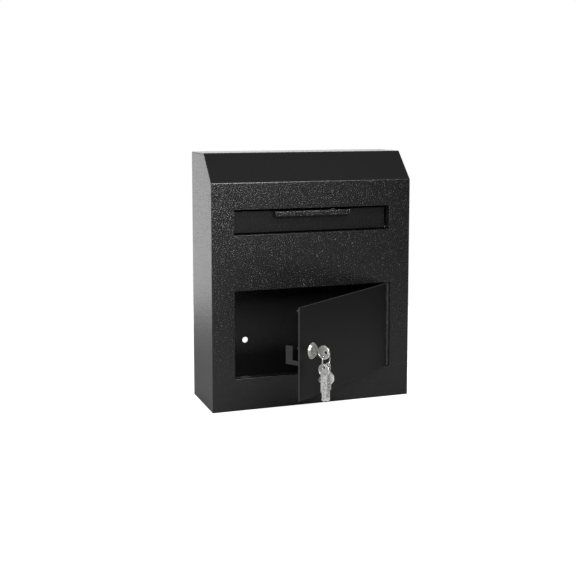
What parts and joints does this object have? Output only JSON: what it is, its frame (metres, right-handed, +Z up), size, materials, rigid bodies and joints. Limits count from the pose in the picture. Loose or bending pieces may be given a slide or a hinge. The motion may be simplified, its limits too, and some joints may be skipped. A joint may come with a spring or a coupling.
{
  "type": "drop safe",
  "caption": "Wall-mounted steel drop safe with a sloped roof, a pull-down hopper slot above, and a hinged inset door below with a cam lock, latch hook and a bunch of keys.",
  "frame": {"origin": "centre of the case's underside, in the plane of its lower edges", "axes": "+Z up; -Y is the front with the slot and the door; +Y points into the wall; +X to the right as seen from the front"},
  "size_m": [0.305, 0.2574, 0.368],
  "materials": {
    "textured_black": "black powder coat with a fine hammered grain",
    "satin_black": "smooth satin black paint",
    "zinc_steel": "bright zinc plate",
    "lock_nickel": "satin nickel plate on die casting",
    "wafer_brass": "stamped brass",
    "key_nickel": "nickel-plated brass key blank, tumbled",
    "ring_steel": "bright nickel-plated spring steel"
  },
  "bodies": {
    "case": {"body_shell": "textured_black", "front_cover": "textured_black", "bottom_plate": "textured_black", "fishing_guard": "satin_black", "rod_bracket_left": "satin_black", "rod_bracket_right": "satin_black", "hopper_rod": "zinc_steel", "rod_retainers": "zinc_steel", "rod_spacers": "zinc_steel", "tray_stop_pins": "zinc_steel", "door_stop": "satin_black", "frame_hinge_leaf": "satin_black", "hinge_pin": "zinc_steel"},
    "hopper": {"hopper_flap": "textured_black", "hopper_tray": "textured_black"},
    "door": {"door_panel": "satin_black", "latch_hook": "textured_black", "door_hinge_leaf": "satin_black", "lock_housing": "lock_nickel", "lock_nut": "zinc_steel"},
    "plug": {"lock_plug": "lock_nickel", "plug_wafers": "wafer_brass", "lock_cam": "zinc_steel", "cam_washer": "zinc_steel", "cam_screw": "zinc_steel"},
    "key": {"lock_key": "key_nickel"},
    "ring": {"key_ring": "ring_steel"},
    "round_key": {"spare_key_round": "key_nickel"},
    "small_key": {"spare_key_small": "key_nickel"},
    "octagon_key": {"spare_key_octagon": "key_nickel"}
  },
  "joints": [
    {"name": "hopper_pull", "type": "hinge", "parent": "case", "child": "hopper", "pos_m": [0, -0.0375, 0.2558], "axis": [1, 0, 0], "range_deg": [0, 60]},
    {"name": "door_swing", "type": "hinge", "parent": "case", "child": "door", "pos_m": [0.1181, -0.052, 0.11], "axis": [0, 0, 1], "range_deg": [-36, 84]},
    {"name": "lock_turn", "type": "hinge", "parent": "door", "child": "plug", "pos_m": [-0.04803, -0.17517, 0.11005], "axis": [0.5878, -0.809, 0], "range_deg": [0, 90]},
    {"name": "key_draw", "type": "slide", "parent": "plug", "child": "key", "axis": [0.5878, -0.809, 0], "range_m": [0, 0.011]},
    {"name": "ring_swing", "type": "hinge", "parent": "key", "child": "ring", "pos_m": [-0.03504, -0.19305, 0.10835], "axis": [-0.809, -0.5878, 0], "range_deg": [-10, 60]},
    {"name": "round_key_swing", "type": "hinge", "parent": "ring", "child": "round_key", "pos_m": [-0.03892, -0.19587, 0.09174], "axis": [-0.809, -0.5878, 0], "range_deg": [-8, 25]},
    {"name": "small_key_swing", "type": "hinge", "parent": "ring", "child": "small_key", "pos_m": [-0.03617, -0.19387, 0.09046], "axis": [-0.809, -0.5878, 0], "range_deg": [-4, 35]},
    {"name": "octagon_key_swing", "type": "hinge", "parent": "ring", "child": "octagon_key", "pos_m": [-0.03164, -0.19058, 0.09139], "axis": [-0.809, -0.5878, 0], "range_deg": [-8, 25]}
  ]
}
